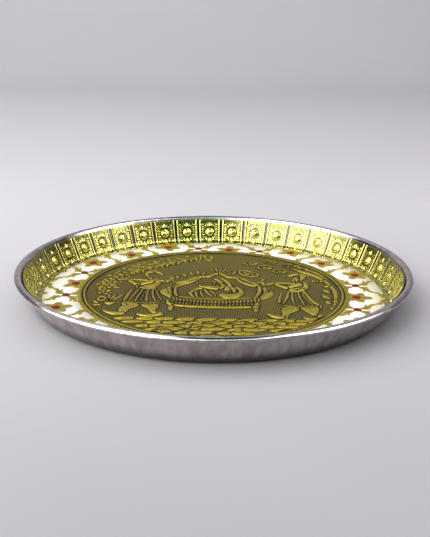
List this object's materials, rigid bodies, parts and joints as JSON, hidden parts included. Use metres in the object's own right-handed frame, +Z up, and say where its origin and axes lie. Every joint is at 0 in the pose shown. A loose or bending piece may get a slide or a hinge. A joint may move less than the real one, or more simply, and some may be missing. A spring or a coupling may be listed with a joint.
{
  "type": "enamelled serving tray",
  "caption": "Shallow round steel serving tray with a rolled rim, a pressed gilt wall lining, a white enamelled lattice ring and an embossed centre medallion.",
  "frame": {"origin": "centre of the flat underside, on the table", "axes": "+Z up out of the tray, +Y towards the top of the centre picture, +X to its right"},
  "size_m": [0.3, 0.3, 0.0244],
  "materials": {
    "steel": "brushed outside wall, polished rim",
    "gilt_lattice": "gilt, satin, raised flowers and leaves",
    "gilt_band": "gilt, bright, embossed with dark grounds",
    "antique_gilt": "antiqued gilt, dark in the hollows",
    "white_enamel": "glossy opaque white enamel",
    "red_enamel": "glossy dark red enamel drops"
  },
  "bodies": {
    "root": {"steel_plate": "steel", "floor_sheet": "gilt_lattice", "white_enamel": "white_enamel", "medallion": "antique_gilt", "wall_band": "gilt_band", "red_enamel_01": "red_enamel", "red_enamel_02": "red_enamel", "red_enamel_03": "red_enamel", "red_enamel_04": "red_enamel", "red_enamel_05": "red_enamel", "red_enamel_06": "red_enamel", "red_enamel_07": "red_enamel", "red_enamel_08": "red_enamel", "red_enamel_09": "red_enamel", "red_enamel_10": "red_enamel", "red_enamel_11": "red_enamel", "red_enamel_12": "red_enamel", "red_enamel_13": "red_enamel", "red_enamel_14": "red_enamel", "red_enamel_15": "red_enamel", "red_enamel_16": "red_enamel", "red_enamel_17": "red_enamel", "red_enamel_18": "red_enamel", "red_enamel_19": "red_enamel", "red_enamel_20": "red_enamel", "red_enamel_21": "red_enamel", "red_enamel_22": "red_enamel", "red_enamel_23": "red_enamel", "red_enamel_24": "red_enamel"}
  },
  "joints": []
}
